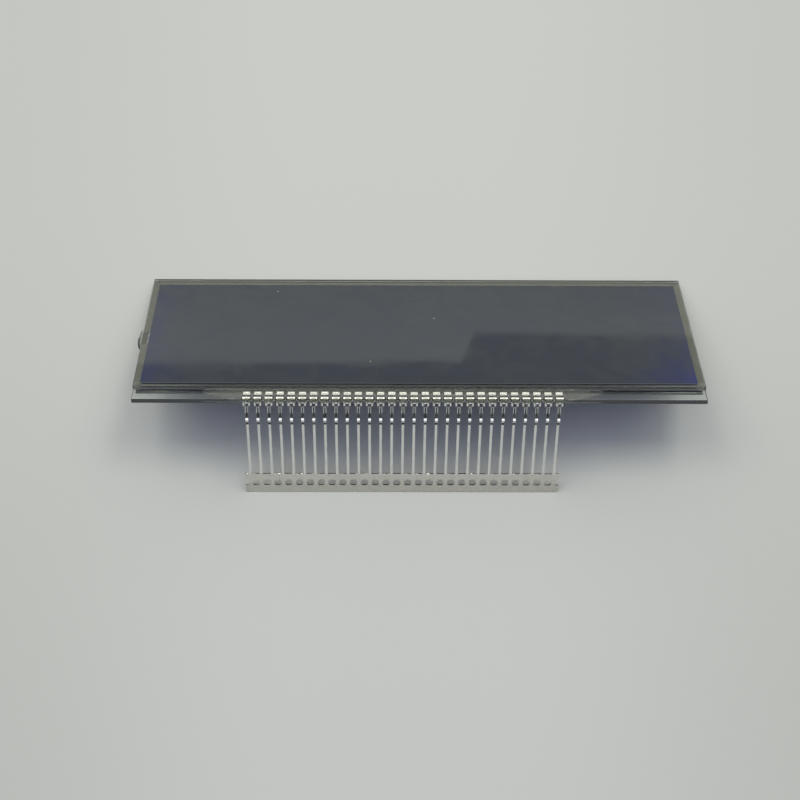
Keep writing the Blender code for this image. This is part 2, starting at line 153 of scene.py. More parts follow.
# Pin glue
GLUE_END = 10.3
GLUE_END_STATIONS = 40
GLUE_HANG = 0.98
GLUE_ARCH = 0.28
GLUE_COAT = 0.30
GLUE_REACH = 0.34
GLUE_SINK = 0.008
GLUE_SAG = 0.03
ARCH_HALF = 0.46
ARCH_FLAT_HALF = 0.07
RIM_HEIGHT = 0.24
RIM_DIP = 0.05
RIM_CLEARANCE = 0.5
DRIP_START = 0.10
DRIP_END_Z = -3.15
DRIP_SPREAD = 0.25
DRIP_RADIUS = 0.08
DRIP_RINGS = 10
DRIP_SIDES = 8

# Lamps in metres: name, x, y, width, watts
LAMPS = (
    ("left_softbox", -0.29, 0.28, 0.25, 1.4),
    ("right_softbox", 0.29, 0.28, 0.25, 1.85),
    ("left_fill", -0.65, 0.25, 0.35, 1.3),
    ("right_fill", 0.65, 0.25, 0.35, 0.75),
)
LAMP_HEIGHT = 0.9
LAMP_DEPTH = 0.42
LAMP_COLOUR = (1.01, 1.0, 0.875)


def screen_axes():
    """The screen's own X, Y and Z as rows, from the axis of its viewing face."""
    faces = {mount["name"]: mount for mount in frame["record"]["mounts"]}
    out = np.array(faces["viewing_face"]["axis"])
    across = np.array((1.0, 0.0, 0.0))
    return np.array((across, np.cross(out, across), out))


def turned_points(node):
    """A CAD node's points along the screen's axes, in millimetres."""
    mesh = frame["nodes"][node].data
    points = np.empty(len(mesh.vertices) * 3, np.float32)
    mesh.vertices.foreach_get("co", points)
    return points.reshape(-1, 3) @ AXES.T / MM


def screen_origin():
    """The ledge's top at the foot of the front glass, in the middle of the rear glass."""
    rear, front = turned_points("rear_glass"), turned_points("front_glass")
    middle = (rear[:, 0].min() + rear[:, 0].max()) / 2
    return np.array((middle, front[:, 1].min(), rear[:, 2].max()))


AXES = screen_axes()
ORIGIN = screen_origin()


def own_box(node):
    """The lowest and highest corners of a CAD node in the screen's own axes."""
    points = turned_points(node) - ORIGIN
    return points.min(axis=0), points.max(axis=0)


def in_row_frame(points):
    return (np.asarray(points) + ORIGIN) @ AXES * MM


# Mesh tools


def make_piece(name, points, faces, materials, smooth=True):
    """A mesh object in the row frame from own-axes points and faces, its doubles merged."""
    mesh = bpy.data.meshes.new(name)
    mesh.from_pydata(in_row_frame(points).tolist(), [], faces)
    bm = bmesh.new()
    bm.from_mesh(mesh)
    bmesh.ops.remove_doubles(bm, verts=bm.verts, dist=WELD)
    bmesh.ops.recalc_face_normals(bm, faces=bm.faces)
    bm.to_mesh(mesh)
    bm.free()
    if smooth:
        mesh.shade_smooth()
    for material in materials:
        mesh.materials.append(material)
    piece = bpy.data.objects.new(name, mesh)
    bpy.context.scene.collection.objects.link(piece)
    return piece


def hand_over(piece, slot, *nodes):
    """Rides the piece on the screen and hides the CAD nodes it stands in for; slot is not used."""
    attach(piece, "root")
    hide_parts(*nodes)


def apply_modifiers(piece, sharp_angle):
    """Puts the modified mesh in the piece, shaded smooth up to an angle between faces."""
    bpy.context.view_layer.update()
    shape = piece.evaluated_get(bpy.context.evaluated_depsgraph_get())
    mesh = bpy.data.meshes.new_from_object(shape)
    piece.modifiers.clear()
    piece.data = mesh
    mesh.shade_smooth()
    mesh.set_sharp_from_angle(angle=sharp_angle)


def face_vectors(piece, kind):
    """The center or the normal of every face, in the row frame."""
    values = np.empty(len(piece.data.polygons) * 3)
    piece.data.polygons.foreach_get(kind, values)
    return values.reshape(-1, 3)


def own_face_centres(piece):
    return face_vectors(piece, "center") / MM @ AXES.T - ORIGIN


def set_face_materials(piece, indices):
    piece.data.polygons.foreach_set("material_index", indices.astype(np.int32))


def grid_faces(rows, columns, wrap=False, first=0):
    """Quads of a grid numbered row by row; wrap joins its last column to its first."""
    here = np.arange(rows - 1)[:, None] * columns
    above = here + columns
    c = np.arange(columns if wrap else columns - 1)[None]
    after = (c + 1) % columns
    corners = (here + c, here + after, above + after, above + c)
    return (np.stack(corners, axis=-1).reshape(-1, 4) + first).tolist()


def end_caps(rows, columns, first=0):
    """The two faces that close a wrapped grid at its first and last rows."""
    last = first + (rows - 1) * columns
    return [list(range(first, first + columns)), list(range(last, last + columns))]


def eased(t):
    """Goes from 0 to 1 without a corner: 3 t squared less 2 t cubed, held outside."""
    t = np.clip(t, 0.0, 1.0)
    return t * t * (3 - 2 * t)


def wander(places, spacing, rng):
    """Smooth random heights along a line: random knots, eased from each to the next."""
    where = (places - places.min()) / spacing
    knots = rng.uniform(-1.0, 1.0, int(where.max()) + 2)
    knots[-1] = knots[0]
    low = where.astype(int)
    share = eased(where - low)
    return knots[low] * (1 - share) + knots[low + 1] * share


def bend_line(corners, turn_step=math.radians(11)):
    """Stations (a, b, half width) along a line that is bent at its corners.

    A corner is (a, b, radius, half width). Its arc starts radius * tan(turn / 2) before
    the corner; at each angle the point has gone radius * sin(angle) along the way in and
    radius * (1 - cos(angle)) to the side of the turn.
    """
    corners = np.array(corners, float)
    points = corners[:, :2]
    ways = np.diff(points, axis=0)
    ways /= np.linalg.norm(ways, axis=1)[:, None]
    stations = [np.append(points[0], corners[0, 3])[None]]
    for k in range(1, len(corners) - 1):
        way_in, way_out = ways[k - 1], ways[k]
        radius, half_width = corners[k, 2:]
        turn = math.acos(np.clip(way_in @ way_out, -1.0, 1.0))
        side = way_out - way_in * (way_in @ way_out)
        side /= max(np.linalg.norm(side), 1e-9)
        steps = max(1, math.ceil(turn / turn_step)) if radius else 0
        angles = np.linspace(0.0, turn, steps + 1)
        start = points[k] - way_in * radius * math.tan(turn / 2)
        along, over = radius * np.sin(angles), radius * (1 - np.cos(angles))
        arc = start + np.outer(along, way_in) + np.outer(over, side)
        stations.append(np.column_stack((arc, np.full(len(arc), half_width))))
    stations.append(np.append(points[-1], corners[-1, 3])[None])
    return np.concatenate(stations)


def even_stations(stations, spacing):
    """The same line with points at even distances along it."""
    steps = np.linalg.norm(np.diff(stations[:, :2], axis=0), axis=1)
    gone = np.append(0.0, np.cumsum(steps))
    places = np.linspace(0.0, gone[-1], math.ceil(gone[-1] / spacing) + 1)
    columns = [np.interp(places, gone, column) for column in stations.T]
    return places, np.column_stack(columns)


# Shader tools


def add_node(tree, kind, inputs=None, **settings):
    """Adds a shader node. inputs gives its sockets their values or what feeds them."""
    made = tree.nodes.new("ShaderNode" + kind)
    for key, value in settings.items():
        setattr(made, key, value)
    for key, value in (inputs or {}).items():
        if isinstance(value, bpy.types.NodeSocket):
            tree.links.new(value, made.inputs[key])
        else:
            made.inputs[key].default_value = value
    return made


def new_material(name, base, roughness, **sockets):
    """A Principled material with its plain values set on the shader's own sockets."""
    material = bpy.data.materials.new(name)
    material.use_nodes = True
    shader = material.node_tree.nodes["Principled BSDF"]
    shader.inputs["Base Color"].default_value = (*base, 1.0)
    shader.inputs["Roughness"].default_value = roughness
    for key, value in sockets.items():
        shader.inputs[key.replace("_", " ")].default_value = value
    return material, shader


def feed(shader, **sockets):
    """Links what feeds the shader's sockets, in place of their plain values."""
    for key, socket in sockets.items():
        shader.id_data.links.new(socket, shader.inputs[key.replace("_", " ")])


def new_group(name, inputs, output):
    """A node group with a vector and float inputs (name: default), and a float output."""
    group = bpy.data.node_groups.new(name, "ShaderNodeTree")
    sockets = group.interface
    sockets.new_socket("Vector", in_out="INPUT", socket_type="NodeSocketVector")
    for label, default in inputs.items():
        socket = sockets.new_socket(label, in_out="INPUT", socket_type="NodeSocketFloat")
        socket.default_value = default
    sockets.new_socket(output, in_out="OUTPUT", socket_type="NodeSocketFloat")
    return group, group.nodes.new("NodeGroupInput").outputs


def end_group(group, result):
    group.links.new(result, group.nodes.new("NodeGroupOutput").inputs[0])


def use_group(group, place, **values):
    """The group's mask at the place."""
    inputs = {"Vector": place, **values}
    return add_node(place.id_data, "Group", inputs, node_tree=group).outputs[0]


def object_place(shader):
    return add_node(shader.id_data, "TexCoord").outputs["Object"]


def parts(place):
    """X, Y and Z of the place."""
    return add_node(place.id_data, "SeparateXYZ", {"Vector": place}).outputs[:]


def own_place(place, axis):
    """The place along one of the screen's own axes, in millimetres."""
    inputs = {0: place, 1: AXES[axis] / MM}
    along = add_node(place.id_data, "VectorMath", inputs, operation="DOT_PRODUCT")
    return less(along.outputs["Value"], ORIGIN[axis])


def math_node(operation, a, b=0.0):
    """An operation's result, where a or b or both are sockets."""
    tree = a.id_data if isinstance(a, bpy.types.NodeSocket) else b.id_data
    return add_node(tree, "Math", {0: a, 1: b}, operation=operation).outputs[0]


def times(product, *factors):
    for factor in factors:
        product = math_node("MULTIPLY", product, factor)
    return product


def plus(total, *terms):
    for term in terms:
        total = math_node("ADD", total, term)
    return total


def less(a, b):
    return math_node("SUBTRACT", a, b)


def ramp(value, low, high, start=0.0, end=1.0):
    """Eases from start to end while value goes from low to high."""
    inputs = {"Value": value, "From Min": low, "From Max": high, "To Min": start, "To Max": end}
    made = add_node(value.id_data, "MapRange", inputs, interpolation_type="SMOOTHSTEP")
    return made.outputs["Result"]


def noise(place, scale, detail, **more):
    inputs = {"Vector": place, "Scale": scale, "Detail": detail, **more}
    return add_node(place.id_data, "TexNoise", inputs).outputs["Fac"]


def mix_colour(factor, a, b):
    colours = [c if isinstance(c, bpy.types.NodeSocket) else (*c, 1.0) for c in (a, b)]
    inputs = {0: factor, 6: colours[0], 7: colours[1]}
    return add_node(factor.id_data, "Mix", inputs, data_type="RGBA").outputs[2]


def smudge_group():
    """Soft uneven patches, as handling leaves them: a broad noise times a finer one."""
    inputs = {"Scale": 60.0, "Stretch": 1.0, "Low": 0.45, "High": 0.75}
    group, given = new_group("handling_smudges", inputs, "Mask")
    finer = times(given["Scale"], given["Stretch"])
    broad = noise(given["Vector"], given["Scale"], 3.0)
    fine = noise(given["Vector"], finer, 4.0, Distortion=0.6)
    both = math_node("SQRT", times(broad, fine))
    end_group(group, ramp(both, given["Low"], given["High"]))
    return group


def speck_group():
    """Small round specks in some cells of a Voronoi pattern, as dust or filler lies."""
    group, given = new_group("specks", {"Scale": 900.0, "Size": 0.18, "Share": 0.2}, "Mask")
    inputs = {key: given[key] for key in ("Vector", "Scale")}
    cells = add_node(group, "TexVoronoi", inputs)
    near = math_node("LESS_THAN", cells.outputs["Distance"], given["Size"])
    chance = add_node(group, "SeparateColor", {"Color": cells.outputs["Color"]})
    some = math_node("LESS_THAN", chance.outputs["Red"], given["Share"])
    end_group(group, times(near, some))
    return group


SMUDGES = smudge_group()
SPECKS = speck_group()


def add_bump(shader, height, strength, distance):
    inputs = {"Height": height, "Strength": strength, "Distance": distance}
    feed(shader, Normal=add_node(shader.id_data, "Bump", inputs).outputs["Normal"])


def let_lamps_through(shader, tint=(1.0, 1.0, 1.0)):
    """Shows the shader to the camera and to mirrors, and a clear pane to lamps' rays."""
    tree = shader.id_data
    ray = add_node(tree, "LightPath").outputs
    share = math_node("MAXIMUM", ray["Is Shadow Ray"], ray["Is Diffuse Ray"])
    clear = add_node(tree, "BsdfTransparent", {"Color": (*tint, 1.0)})
    mixed = add_node(tree, "MixShader", {0: share, 1: shader.outputs[0], 2: clear.outputs[0]})
    feed(tree.nodes["Material Output"], Surface=mixed.outputs[0])


def tint_depth(shader, colour, density):
    """Colours what is seen through the solid, the more the deeper it is."""
    tree, inputs = shader.id_data, {"Color": (*colour, 1.0), "Density": density}
    depth = add_node(tree, "VolumeAbsorption", inputs)
    feed(tree.nodes["Material Output"], Volume=depth.outputs[0])


# Materials


def film_material():
    """Polarizer film: near black, with violet-blue light painted into its colour at its sides,
    where light leaks in.

    The strip in front of y = 0.75 is the rear film's, seen through the glass. Its colour is
    painted with the light that comes up from the shaded table: dark, greyer towards both
    ends and where it shows through one sheet only, with a painted pale highlight line
    towards its ends.
    """
    material, shader = new_material("polarizer_film", (0.02, 0.024, 0.034), 0.05, IOR=1.49)
    place = object_place(shader)
    x, y, _ = parts(place)
    own_x, own_y = own_place(place, 0), own_place(place, 1)
    off_middle = math_node("ABSOLUTE", own_x)

    # Painted light: the violet-blue of light leaking in at the film's sides is painted into its
    # colour.
    right = ramp(x, 0.045, 0.0645)
    left = ramp(x, -0.045, -0.0645)
    corner = times(right, ramp(y, 0.012, -0.012))
    painted_leak_glow = plus(times(left, 0.28), corner, times(right, 0.2))
    colour = mix_colour(painted_leak_glow, (0.0165, 0.0235, 0.042), (0.0165, 0.0235, 0.080))
    painted_leak_right = times(ramp(x, 0.0600, 0.0640), ramp(y, 0.020, -0.016))
    painted_leak_left = times(ramp(x, -0.056, -0.0648, 0.0, 0.32), ramp(y, 0.024, 0.008, 0.1, 1.0))
    colour = mix_colour(plus(painted_leak_right, painted_leak_left), colour, (0.018, 0.026, 0.125))

    # Painted light and shade: the rear film's strip is coloured with the light that comes up
    # through it from the shaded table, paler towards both ends, with a painted highlight line.
    colour = mix_colour(ramp(own_y, 0.75, 0.68), colour, (0.035, 0.039, 0.040))
    moved = plus(own_y, ramp(own_x, -40.0, 40.0, 0.0, 0.14))
    strength = ramp(off_middle, 50.0, 60.0, 0.15, 1.0)
    line = times(ramp(moved, 0.10, 0.18), ramp(moved, 0.46, 0.38), strength)
    colour = mix_colour(line, colour, (0.34, 0.355, 0.34))
    ends = ramp(off_middle, 46.0, 60.0)
    painted_see_through = mix_colour(ends, (0.055, 0.062, 0.064), (0.13, 0.14, 0.13))
    colour = mix_colour(ramp(own_y, 0.0, -0.1), colour, painted_see_through)

    smudges = use_group(SMUDGES, place, Scale=34.0, Stretch=5.0, Low=0.42, High=0.62)
    colour = mix_colour(times(smudges, 0.6), colour, (0.030, 0.037, 0.046))
    dust = use_group(SPECKS, place, Scale=260.0, Size=0.045, Share=0.06)
    colour = mix_colour(times(dust, 0.7), colour, (0.5, 0.5, 0.48))
    rough = ramp(smudges, 0.0, 1.0, 0.02, 0.04)
    feed(shader, Base_Color=colour, Roughness=rough)
    add_bump(shader, noise(place, 55.0, 1.0), 0.25, 0.00006)
    let_lamps_through(shader, FILM_TINT)
    return material


def film_edge_material():
    """The cut side of a film: its clear outer layers show pale, and its colour is painted light
    grey so that it does not read dark.
    """
    material, shader = new_material("film_edge", (0.15, 0.155, 0.15), 0.35, IOR=1.49)
    let_lamps_through(shader, FILM_TINT)
    return material


def glass_material(name, edge=None):
    """Float glass, clear face on and green through its depth; an edge is a torn surface.

    A front edge is faintly milky. A back edge faces away from the light, and its colour is painted
    near black, with little let through, as shade.
    """
    # The back edge's near-black base and low clearness are painted shade.
    clear = {"front": 0.93, "back": 0.3}.get(edge, 1.0)
    base = (0.015, 0.017, 0.015) if edge == "back" else (0.97, 0.99, 0.98)
    material, shader = new_material(name, base, 0.01, IOR=1.52, Transmission_Weight=clear)
    if edge:
        tear = noise(object_place(shader), 900.0, 4.0, Roughness=0.6)
        feed(shader, Roughness=ramp(tear, 0.35, 0.75, 0.01, 0.04))
        add_bump(shader, tear, 0.1, 0.000005)
    let_lamps_through(shader)
    tint_depth(shader, (0.42, 0.80, 0.66), 22.0)
    return material


def seal_material():
    """Cured epoxy print: olive grey, with glass-rod filler showing as fine specks.

    Along the back edge it is painted dark as shade, and along the front edge it is painted with
    the table's shadow seen through the glass: dark in the middle and pale towards both ends.
    """
    material, shader = new_material("seal_epoxy", (0.30, 0.29, 0.25), 0.55)
    place = object_place(shader)
    own_y = own_place(place, 1)
    uneven = use_group(SMUDGES, place, Scale=220.0, Stretch=3.0, Low=0.35, High=0.7)
    filler = use_group(SPECKS, place, Scale=5200.0, Size=0.22, Share=0.35)
    colour = mix_colour(uneven, (0.085, 0.087, 0.070), (0.11, 0.112, 0.092))
    colour = mix_colour(filler, colour, (0.16, 0.16, 0.14))
    # Painted shade: the seal is coloured near black along the back edge.
    back_edge = own_box("front_glass")[1][1]
    back = ramp(own_y, back_edge - 1.0, back_edge - 0.7)
    colour = mix_colour(back, colour, (0.025, 0.027, 0.022))
    # Painted shadow: along the front edge the seal is coloured with the table's shadow seen
    # through the glass, dark in the middle and pale towards both ends.
    ends = ramp(math_node("ABSOLUTE", own_place(place, 0)), 44.0, 60.0)
    along = mix_colour(ends, (0.05, 0.052, 0.044), (0.15, 0.154, 0.13))
    colour = mix_colour(ramp(own_y, 2.4, 2.0), colour, along)
    feed(shader, Base_Color=colour)
    return material


def clear_material(name, base, clear, rough, **cloud):
    """A clear solid whose surface is rougher in soft patches."""
    material, shader = new_material(name, base, 0.03, IOR=1.5, Transmission_Weight=clear)
    place = object_place(shader)
    patches = use_group(SMUDGES, place, **cloud)
    feed(shader, Roughness=ramp(patches, 0.0, 1.0, *rough))
    let_lamps_through(shader)
    return material, shader, place


def crystal_material():
    """The clear fluid between the sheets, faintly cloudy in patches."""
    cloud = {"Scale": 150.0, "Stretch": 4.0, "Low": 0.4, "High": 0.7}
    base = (0.93, 0.95, 0.95)
    return clear_material("liquid_crystal", base, 1.0, (0.02, 0.07), **cloud)[0]


def silver_material():
    """Conductive paste: pale metal grains in binder."""
    material, shader = new_material("silver_paste", (0.72, 0.71, 0.67), 0.45, Metallic=0.9)
    inputs = {"Vector": object_place(shader), "Scale": 9000.0}
    grains = add_node(shader.id_data, "TexVoronoi", inputs).outputs["Distance"]
    feed(shader, Base_Color=mix_colour(grains, (0.80, 0.79, 0.75), (0.55, 0.54, 0.50)))
    add_bump(shader, grains, 0.5, 0.00002)
    return material


def tin_material():
    """Bright tin plating over strip metal: fine rolling lines and duller patches.

    The carrier strip is rougher, and its colour is painted darker and warmer, most below its
    holes, as the shaded table it reflects; the glue tints the clips' plates.
    """
    material, shader = new_material("tinned_metal", (0.80, 0.795, 0.76), 0.2, Metallic=1.0)
    place = object_place(shader)
    own_y, own_z = own_place(place, 1), own_place(place, 2)
    dull = use_group(SMUDGES, place, Scale=420.0, Stretch=4.0, Low=0.4, High=0.66)
    colour = mix_colour(dull, (0.89, 0.89, 0.865), (0.82, 0.82, 0.795))
    # Painted reflected shade: the carrier strip is coloured darker and warmer, most below its
    # holes, in place of the shaded table it reflects.
    strip = ramp(own_z, STRIP_TOP + 0.2, STRIP_TOP - 0.2)
    foot = ramp(own_z, PILOT_Z, PILOT_Z - PILOT_RADIUS)
    painted_strip_shade = mix_colour(foot, (0.77, 0.755, 0.70), (0.68, 0.665, 0.605))
    colour = mix_colour(strip, colour, painted_strip_shade)
    plate = times(ramp(own_y, LEAD_Y + 0.35, LEAD_Y + 0.2), ramp(own_z, 0.55, 0.42))
    plate = times(plate, ramp(own_z, -0.6, -0.2))
    colour = mix_colour(plate, colour, (0.66, 0.685, 0.50))
    rough = plus(ramp(dull, 0.0, 1.0, 0.13, 0.20), times(strip, 0.1))
    feed(shader, Base_Color=colour, Roughness=rough)
    inputs = {"Vector": place, "Scale": (900.0, 9000.0, 9000.0)}
    lines = add_node(shader.id_data, "Mapping", inputs).outputs[0]
    add_bump(shader, noise(lines, 1.0, 3.0), 0.055, 0.000008)
    return material


def glue_rim_material():
    """The bead's thin lower rim, painted pale and cloudy as a stand-in for the highlights along
    it.
    """
    base = (0.82, 0.85, 0.84)
    material, shader = new_material("glue_rim_painted_highlight", base, 0.12, IOR=1.50, Transmission_Weight=0.45)
    place = object_place(shader)
    patches = use_group(SMUDGES, place, Scale=700.0, Stretch=3.0, Low=0.35, High=0.65)
    feed(shader, Base_Color=mix_colour(patches, (0.88, 0.90, 0.89), (0.62, 0.65, 0.64)))
    let_lamps_through(shader)
    return material


def glue_material():
    """Clear cured resin with a straw tint in its depth and a slightly rippled skin."""
    haze = {"Scale": 300.0, "Stretch": 3.0, "Low": 0.45, "High": 0.75}
    base = (0.92, 0.925, 0.88)
    material, shader, place = clear_material("clear_glue", base, 0.98, (0.02, 0.10), **haze)
    add_bump(shader, noise(place, 520.0, 2.0, Distortion=0.4), 0.4, 0.00005)
    tint_depth(shader, (0.80, 0.80, 0.55), 230.0)
    return material


# Glass and films


def rectangle_ring(low, high, radius, step):
    """Points round a rectangle, each with its outward direction and its distance along.

    A corner is a quarter circle, centre + radius * (cos a, sin a), and a side is a
    straight run of evenly spaced points between two corners.
    """
    (left, front), (right, back) = low + radius, high - radius
    centres = np.array(((right, front), (right, back), (left, back), (left, front)))
    points, outward = [], []
    for k, centre in enumerate(centres):
        angles = np.radians(np.linspace(-90.0, 0.0, 5) + 90.0 * k)
        ways = np.column_stack((np.cos(angles), np.sin(angles)))
        corner = centre + radius * ways
        next_start = centres[(k + 1) % 4] + radius * ways[-1]
        run = np.linalg.norm(next_start - corner[-1])
        share = np.linspace(0.0, 1.0, math.ceil(run / step) + 1)[1:-1, None]
        points += [corner, corner[-1] + (next_start - corner[-1]) * share]
        outward += [ways, np.repeat(ways[-1:], len(share), axis=0)]
    points, outward = np.concatenate(points), np.concatenate(outward)
    steps = np.linalg.norm(np.diff(points, axis=0, append=points[:1]), axis=1)
    return points, outward, np.append(0.0, np.cumsum(steps)[:-1])


def cut_sheet(name, low, high, edge, materials, seed, chips=0):
    """A flat sheet with broken or cut edges.

    Its edge goes round in rings. A ring lies arris * (1 - sin a) from the outline and
    arris * (1 - cos a) from the nearer face; the torn face wanders by the hackle, and
    each chip adds depth * exp(-(distance / width) squared) near one of the two rims.
    The materials are for the flat faces, the left and right edges, the front edge and
    the back edge; the last one given also serves the edges that have none.
    """
    arris, corner, step, hackle = edge
    rng = np.random.default_rng(seed)
    ring, outward, along = rectangle_ring(low[:2], high[:2], corner, step)
    turn = np.radians(np.linspace(0.0, 90.0, 4))
    rim_inset, rim_drop = arris * (1 - np.sin(turn)), arris * (1 - np.cos(turn))
    middle = np.linspace(high[2] - arris - RIM_GUARD, low[2] + arris + RIM_GUARD, 5)
    levels = np.concatenate((high[2] - rim_drop, middle, low[2] + rim_drop[::-1]))
    inset = np.concatenate((rim_inset, np.zeros(len(middle)), rim_inset[::-1]))
    inset = np.repeat(inset[:, None], len(ring), axis=1)
    torn = np.stack([wander(along, 1.3 + 0.4 * k, rng) for k in range(len(levels))])
    inset += hackle * (0.5 + 0.5 * torn)
    if chips:
        where = rng.uniform(0.0, along[-1], chips)
        width = rng.uniform(0.12, 0.55, chips)
        depth = CHIP_DEPTH * rng.uniform(0.25, 1.0, chips) ** 2
        upper = rng.random(chips) < 0.5
        bite = depth * np.exp(-(((along[:, None] - where) / width) ** 2))
        fade = np.exp(-(high[2] - levels) / 0.15)[:, None]
        inset += fade * (bite * upper).sum(axis=1) + fade[::-1] * (bite * ~upper).sum(axis=1)
    flat = ring[None] - outward[None] * inset[..., None]
    heights = np.repeat(levels[:, None, None], len(ring), axis=1)
    points = np.concatenate((flat, heights), axis=-1).reshape(-1, 3)
    rows, columns = len(levels), len(ring)
    faces = grid_faces(rows, columns, wrap=True) + end_caps(rows, columns)
    sheet = make_piece(name, points, faces, materials)
    sides = np.empty(len(sheet.data.polygons), np.int32)
    sheet.data.polygons.foreach_get("loop_total", sides)
    facing = face_vectors(sheet, "normal") @ AXES[1]
    kind = np.where(facing < -0.7, 2, np.where(facing > 0.7, 3, 1))
    kind = np.where(sides > 4, 0, np.minimum(kind, len(materials) - 1))
    set_face_materials(sheet, kind)
    sheet.data.polygons.foreach_set("use_smooth", sides <= 4)
    return sheet


def add_glass():
    materials = (
        glass_material("float_glass"),
        glass_material("float_glass_edge", "side"),
        glass_material("float_glass_front_edge", "front"),
        glass_material("float_glass_back_edge", "back"),
    )
    for name, node, seed in (("front_sheet", "front_glass", 11), ("rear_sheet", "rear_glass", 12)):
        low, high = own_box(node)
        high[1] -= BACK_TRIM
        sheet = cut_sheet(name, low, high, GLASS_EDGE, materials, seed, GLASS_CHIPS)
        hand_over(sheet, "float_glass", node)


def add_films():
    """Both polarizers, their bonded side just inside the glass."""
    materials = (film_material(), film_edge_material())
    low, high = own_box("front_polarizer")
    low[2] = own_box("front_glass")[1][2] - WETTING
    high[0] += FRONT_FILM_REACH
    front = cut_sheet("front_film", low, high, FILM_EDGE, materials, 21)
    hand_over(front, "polarizer_film", "front_polarizer")
    low, high = own_box("rear_polarizer")
    glass_low, glass_high = own_box("rear_glass")
    low[:2] = glass_low[0] + REAR_FILM_SIDE, REAR_FILM_FRONT
    high[0], high[2] = glass_high[0] - REAR_FILM_SIDE, glass_low[2] + WETTING
    rear = cut_sheet("rear_film", low, high, FILM_EDGE, materials, 22)
    hand_over(rear, "polarizer_film", "rear_polarizer")


# Seal, its plug and the cell's inside


def seal_line():
    """The seal's middle line from one side of the fill port round to the other."""
    low, high = own_box("front_glass")
    half, side, far = SEAL_WIDTH / 2, SEAL_SIDE_WIDTH / 2, SEAL_BACK_WIDTH / 2
    left, right = low[0] + SEAL_INSET + side, high[0] - SEAL_INSET - side
    front, back = low[1] + SEAL_FRONT_INSET + half, high[1] - SEAL_INSET - far
    return bend_line(
        [
            (left, PORT_Y + PORT_WIDTH / 2, 0, side),
            (left, back - far, 0, side),
            (left, back, 0, far),
            (right, back, 0, far),
            (right, back - far, 0, side),
            (right, front + SEAL_CORNER_CUT, SEAL_BEND, side),
            (right - SEAL_CORNER_CUT, front, SEAL_BEND, half),
            (left + SEAL_CORNER_CUT, front, SEAL_BEND, half),
            (left, front + SEAL_CORNER_CUT, SEAL_BEND, side),
            (left, PORT_Y - PORT_WIDTH / 2, 0, side),
        ]
    )


def seal_corners(bottom, top, first):
    """Blocks of print that fill both front corners square, as points and faces."""
    low, high = own_box("front_glass")
    near, far = low[1] + SEAL_CORNER_INSET, low[1] + SEAL_FRONT_INSET + SEAL_WIDTH
    points, faces = [], []
    for outer, width in (
        (low[0] + SEAL_INSET, SEAL_SIDE_WIDTH),
        (high[0] - SEAL_INSET, -SEAL_SIDE_WIDTH),
    ):
        start, inner = first + len(points), outer + width
        ring = ((outer, near), (inner, near), (inner, far), (outer, far))
        points += [(x, y, height) for height in (bottom, top) for x, y in ring]
        faces += grid_faces(2, 4, wrap=True, first=start) + end_caps(2, 4, start)
    return np.array(points), faces


def add_seal():
    """A printed line squeezed flat between the sheets, its two banks wandering apart."""
    rng = np.random.default_rng(31)
    places, line = even_stations(seal_line(), 0.3)
    ways = np.gradient(line[:, :2], axis=0)
    ways /= np.linalg.norm(ways, axis=1)[:, None]
    across = np.column_stack((-ways[:, 1], ways[:, 0]))
    left = line[:, 2] + SEAL_WAVE * wander(places, 1.7, rng)
    right = line[:, 2] + SEAL_WAVE * wander(places, 1.1, rng)
    banks = np.stack((left, -right, -right, left), axis=1)
    flat = line[:, None, :2] + across[:, None] * banks[..., None]
    glass_low, glass_high = own_box("front_glass")
    flat = np.clip(flat, glass_low[:2] + SEAL_INSET, glass_high[:2] - SEAL_INSET)
    bottom, top = -WETTING, CELL_GAP + WETTING
    heights = np.array((bottom, bottom, top, top))
    heights = np.broadcast_to(heights[None, :, None], (*banks.shape, 1))
    points = np.concatenate((flat, heights), axis=-1).reshape(-1, 3)
    faces = grid_faces(len(line), 4, wrap=True) + end_caps(len(line), 4)
    corners, corner_faces = seal_corners(bottom, top, len(points))
    points, faces = np.concatenate((points, corners)), faces + corner_faces
    seal = make_piece("seal_line", points, faces, [seal_material()], smooth=False)
    hand_over(seal, "seal_epoxy", "cell_seal")


